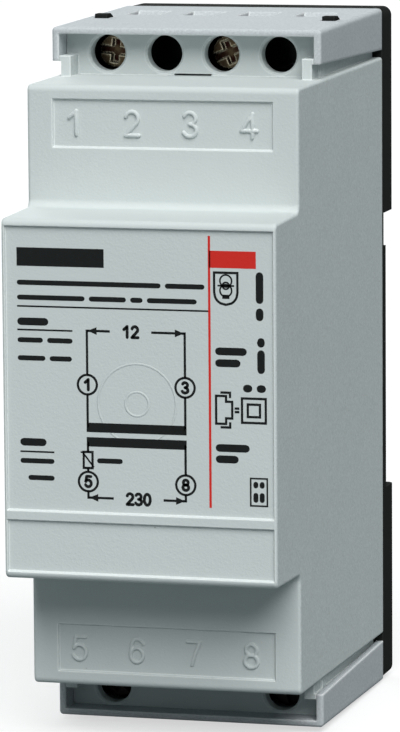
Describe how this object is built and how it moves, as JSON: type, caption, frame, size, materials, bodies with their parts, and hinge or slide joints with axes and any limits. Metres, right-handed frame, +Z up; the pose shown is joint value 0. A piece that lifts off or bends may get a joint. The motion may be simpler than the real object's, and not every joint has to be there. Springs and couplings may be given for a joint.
{
  "type": "doorbell transformer",
  "caption": "Two-module bell transformer for a mounting rail: grey stepped housing, black rear base with rail recess and latch, screw terminals under hoods at both ends.",
  "frame": {"origin": "middle of the rail seat, on the rail's centre line and on the plane that the rail's flanges lie on", "axes": "+X to the right seen from the front, +Y back towards the rail, +Z up as the part hangs on the rail"},
  "size_m": [0.0352, 0.0618, 0.0906],
  "materials": {
    "housing_grey": "moulded, fine satin",
    "base_black": "moulded, satin",
    "core_iron": "stacked sheet, varnished",
    "strap_steel": "zinc plated",
    "spring_steel": "bright rolled",
    "bobbin_nylon": "moulded nylon",
    "coil_copper": "enamelled copper wire",
    "coil_tape": "polyester tape",
    "lead_sleeve": "insulated wire",
    "ptc_coating": "dipped resin",
    "screw_steel": "yellow passivated",
    "cage_steel": "zinc plated",
    "bar_brass": "tinned brass"
  },
  "bodies": {
    "housing": {"base_plate": "base_black", "contact_bar_1": "bar_brass", "contact_bar_3": "bar_brass", "contact_bar_5": "bar_brass", "contact_bar_8": "bar_brass", "core_e_stack": "core_iron", "core_i_stack": "core_iron", "core_strap": "strap_steel", "front_shell": "housing_grey", "latch_spring": "spring_steel", "lower_terminal_block": "base_black", "lower_terminal_cover": "housing_grey", "primary_lead_8": "lead_sleeve", "primary_tape": "coil_tape", "primary_winding": "coil_copper", "ptc_thermistor": "ptc_coating", "secondary_lead_1": "lead_sleeve", "secondary_lead_3": "lead_sleeve", "secondary_tape": "coil_tape", "secondary_winding": "coil_copper", "upper_terminal_block": "base_black", "upper_terminal_cover": "housing_grey", "winding_bobbin": "bobbin_nylon"},
    "screw_1": {"terminal_screw_1": "screw_steel"},
    "cage_1": {"clamp_cage_1": "cage_steel"},
    "screw_3": {"terminal_screw_3": "screw_steel"},
    "cage_3": {"clamp_cage_3": "cage_steel"},
    "screw_5": {"terminal_screw_5": "screw_steel"},
    "cage_5": {"clamp_cage_5": "cage_steel"},
    "screw_8": {"terminal_screw_8": "screw_steel"},
    "cage_8": {"clamp_cage_8": "cage_steel"},
    "latch": {"rail_latch": "base_black"}
  },
  "joints": [
    {"name": "screw_1_turn", "type": "hinge", "parent": "housing", "child": "screw_1", "pos_m": [-0.01125, -0.0281, 0.04105], "axis": [0, 1, 0], "range_deg": [0, 3000]},
    {"name": "cage_1_lift", "type": "slide", "parent": "housing", "child": "cage_1", "axis": [0, -1, 0], "range_m": [0, 0.005]},
    {"name": "screw_3_turn", "type": "hinge", "parent": "housing", "child": "screw_3", "pos_m": [0.00375, -0.0281, 0.04105], "axis": [0, 1, 0], "range_deg": [0, 3000]},
    {"name": "cage_3_lift", "type": "slide", "parent": "housing", "child": "cage_3", "axis": [0, -1, 0], "range_m": [0, 0.005]},
    {"name": "screw_5_turn", "type": "hinge", "parent": "housing", "child": "screw_5", "pos_m": [-0.01125, -0.0281, -0.04105], "axis": [0, 1, 0], "range_deg": [0, 3000]},
    {"name": "cage_5_lift", "type": "slide", "parent": "housing", "child": "cage_5", "axis": [0, -1, 0], "range_m": [0, 0.005]},
    {"name": "screw_8_turn", "type": "hinge", "parent": "housing", "child": "screw_8", "pos_m": [0.01125, -0.0281, -0.04105], "axis": [0, 1, 0], "range_deg": [0, 3000]},
    {"name": "cage_8_lift", "type": "slide", "parent": "housing", "child": "cage_8", "axis": [0, -1, 0], "range_m": [0, 0.005]},
    {"name": "latch_slide", "type": "slide", "parent": "housing", "child": "latch", "axis": [0, 0, -1], "range_m": [0, 0.003], "stiffness_N_per_m": 3000, "springref_m": -0.002, "deforming": ["latch_spring"]}
  ],
  "couplings": [
    {"joint": "screw_1_turn", "follows": "cage_1_lift", "rad_per_m": 10472},
    {"joint": "screw_3_turn", "follows": "cage_3_lift", "rad_per_m": 10472},
    {"joint": "screw_5_turn", "follows": "cage_5_lift", "rad_per_m": 10472},
    {"joint": "screw_8_turn", "follows": "cage_8_lift", "rad_per_m": 10472}
  ]
}
